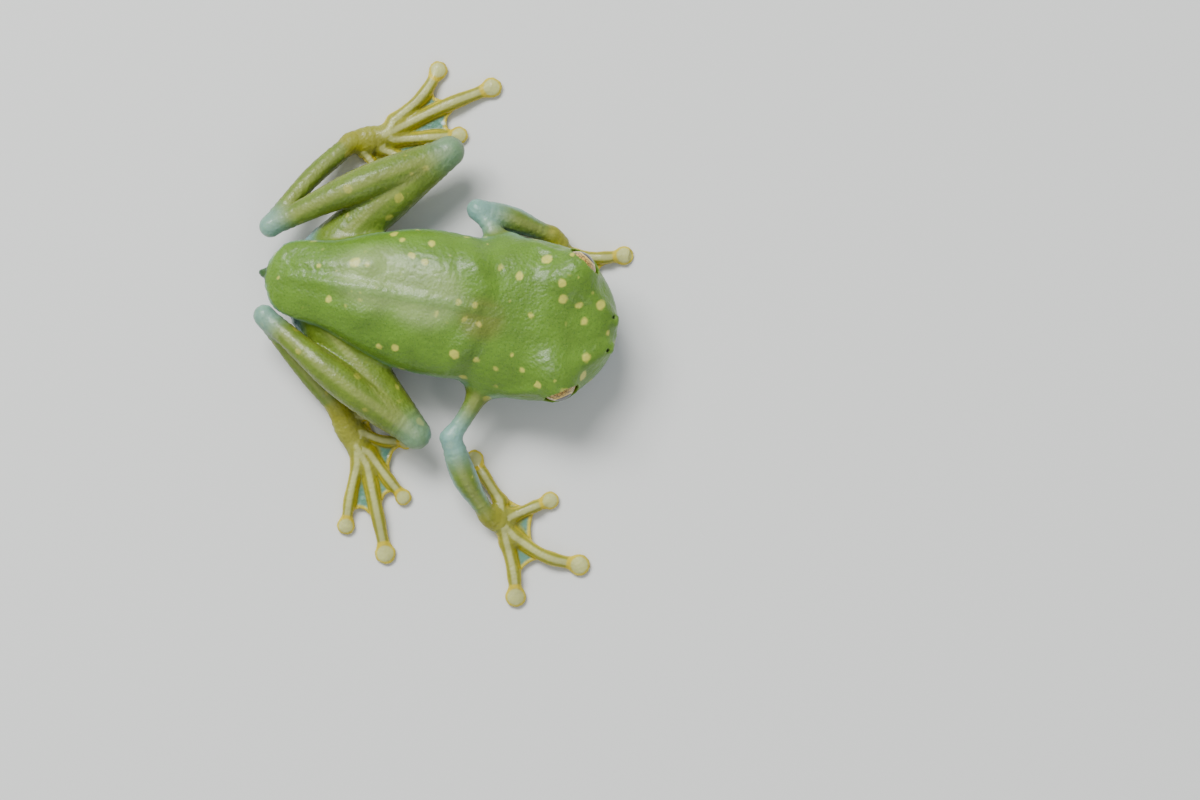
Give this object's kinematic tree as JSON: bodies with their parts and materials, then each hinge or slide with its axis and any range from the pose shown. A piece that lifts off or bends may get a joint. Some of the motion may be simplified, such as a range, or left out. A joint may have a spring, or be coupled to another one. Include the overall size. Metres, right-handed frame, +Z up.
{
  "type": "glass frog figure",
  "caption": "Still life-size glass frog, spread flat on its pads with one hand under the throat: blunt head, side-set eyes, folded hind legs, webbed hands and feet.",
  "frame": {"origin": "on the ground, below the middle of the whole frog's box", "axes": "+Z up from the ground, -Y toward the snout, +X toward the frog's own left"},
  "size_m": [0.0372, 0.027, 0.0074],
  "materials": {
    "skin": "moist, glossy, slightly translucent skin",
    "eye": "wet gloss"
  },
  "bodies": {
    "root": {"eye_left": "eye", "eye_right": "eye", "finger_1_left": "skin", "finger_1_right": "skin", "finger_2_left": "skin", "finger_2_right": "skin", "finger_3_left": "skin", "finger_3_right": "skin", "finger_4_left": "skin", "finger_4_right": "skin", "foot_left": "skin", "foot_right": "skin", "forearm_left": "skin", "forearm_right": "skin", "hand_left": "skin", "hand_right": "skin", "head": "skin", "shank_left": "skin", "shank_right": "skin", "tarsus_left": "skin", "tarsus_right": "skin", "thigh_left": "skin", "thigh_right": "skin", "toe_1_left": "skin", "toe_1_right": "skin", "toe_2_left": "skin", "toe_2_right": "skin", "toe_3_left": "skin", "toe_3_right": "skin", "toe_4_left": "skin", "toe_4_right": "skin", "toe_5_left": "skin", "toe_5_right": "skin", "trunk": "skin", "upper_arm_left": "skin", "upper_arm_right": "skin"}
  },
  "joints": []
}
